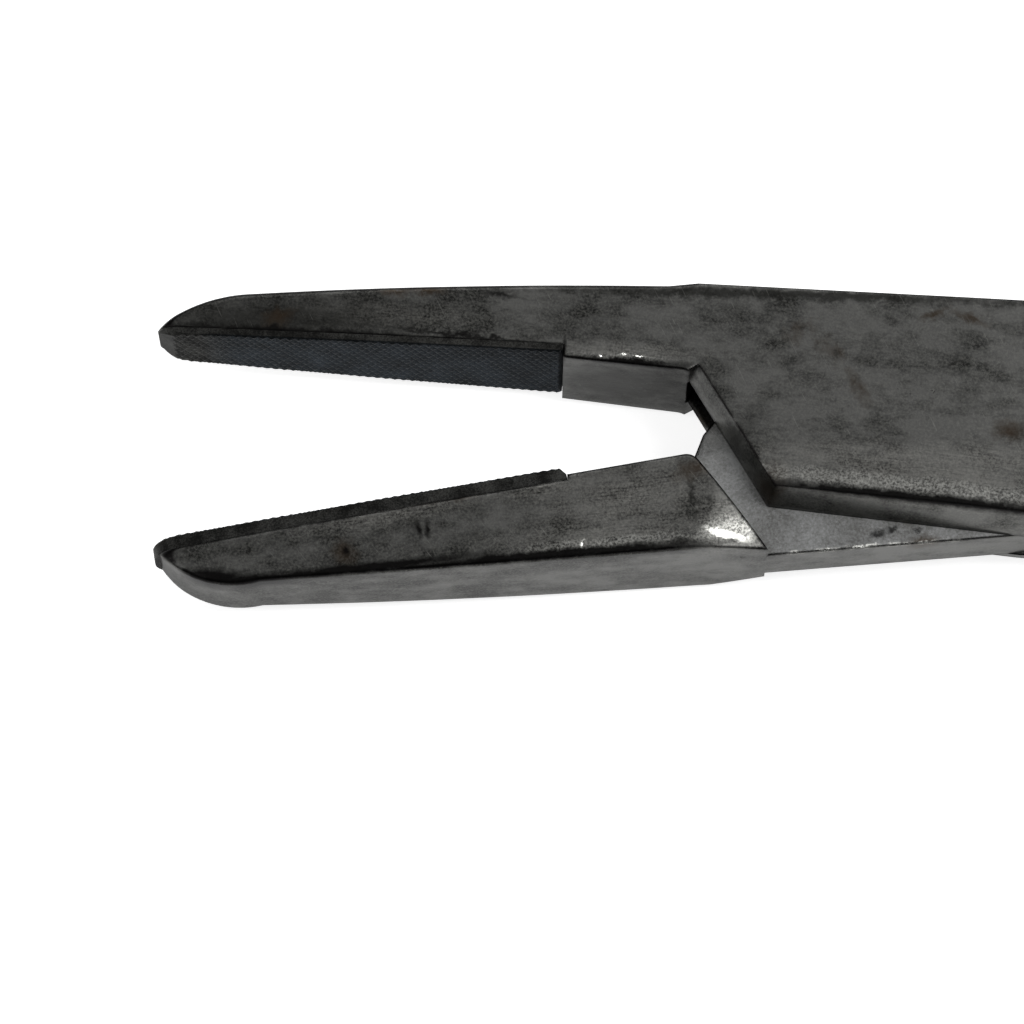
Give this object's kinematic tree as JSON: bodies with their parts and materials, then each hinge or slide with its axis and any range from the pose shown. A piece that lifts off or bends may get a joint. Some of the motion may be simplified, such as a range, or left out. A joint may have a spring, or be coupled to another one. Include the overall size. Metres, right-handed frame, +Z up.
{
  "type": "surgical needle holder",
  "caption": "Ring-handled surgical needle holder with a box-lock joint, cross-cut carbide jaw inserts and a ratchet between the shanks.",
  "frame": {"origin": "on the axis of the joint pin, in the flat underside of the box lock", "axes": "+X from the box lock towards the finger rings along the centre line, so the jaws point to -X; +Z up along the pin; +Y towards the box half's jaw"},
  "size_m": [0.1769, 0.098, 0.005],
  "materials": {
    "box_half_steel": "satin forged and ground stainless steel, stained",
    "through_half_steel": "satin forged and ground stainless steel",
    "pin_steel": "riveted and ground flush",
    "carbide": "matt blue-grey tungsten carbide, cross-cut"
  },
  "bodies": {
    "box_side": {"box_half": "box_half_steel", "box_half_insert": "carbide", "joint_pin": "pin_steel"},
    "through_side": {"through_half": "through_half_steel", "through_half_insert": "carbide"}
  },
  "joints": [
    {"name": "box_lock_hinge", "type": "hinge", "parent": "box_side", "child": "through_side", "pos_m": [0, 0, 0], "axis": [0, 0, 1], "range_deg": [-14.12, 33]}
  ]
}
